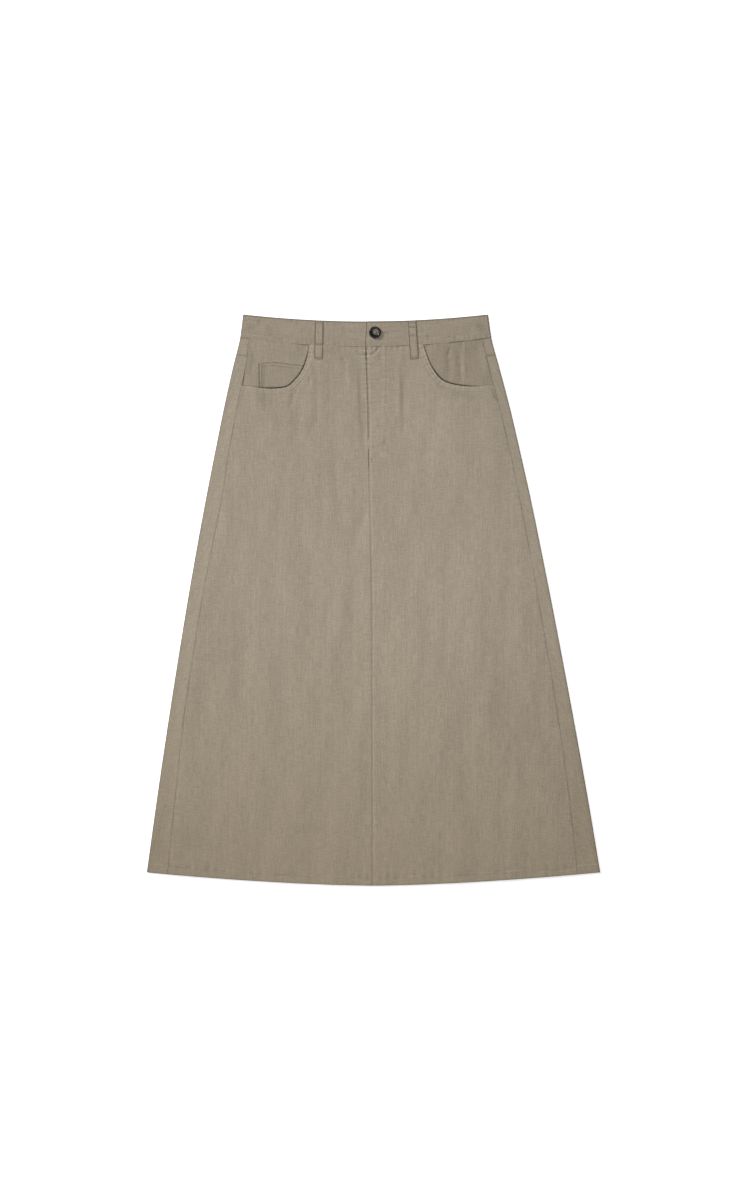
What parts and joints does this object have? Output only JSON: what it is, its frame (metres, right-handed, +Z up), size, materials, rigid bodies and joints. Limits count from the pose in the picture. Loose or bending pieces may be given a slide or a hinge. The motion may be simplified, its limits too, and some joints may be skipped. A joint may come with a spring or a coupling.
{
  "type": "maxi skirt",
  "caption": "Long A-line woven skirt with a waistband, button and zip fly, curved front pockets, coin pocket and belt loops, laid flat on its back.",
  "frame": {"origin": "centre of the laid skirt's box, on the surface that it rests on", "axes": "+Y towards the waistband, +X towards the wearer's left side, +Z up out of the front"},
  "size_m": [0.725, 0.9131, 0.0106],
  "materials": {
    "skirt_cloth": "matt taupe-khaki plain weave with a linen slub",
    "waistband_cloth": "the same cloth, double and topstitched",
    "pocket_cloth": "the same cloth, in the shade of the pocket mouth",
    "horn": "polished dark brown horn with a lighter dish",
    "zip_tape": "woven zip tape"
  },
  "bodies": {
    "root": {"front_panel_right": "skirt_cloth", "front_panel_left": "skirt_cloth", "back_panel_right": "skirt_cloth", "back_panel_left": "skirt_cloth", "back_yoke_right": "skirt_cloth", "back_yoke_left": "skirt_cloth", "waistband": "waistband_cloth", "belt_loop_right": "waistband_cloth", "belt_loop_left": "waistband_cloth", "pocket_bag_right": "pocket_cloth", "pocket_bag_left": "pocket_cloth", "coin_pocket": "pocket_cloth", "button": "horn", "fly_zip": "zip_tape"}
  },
  "joints": []
}
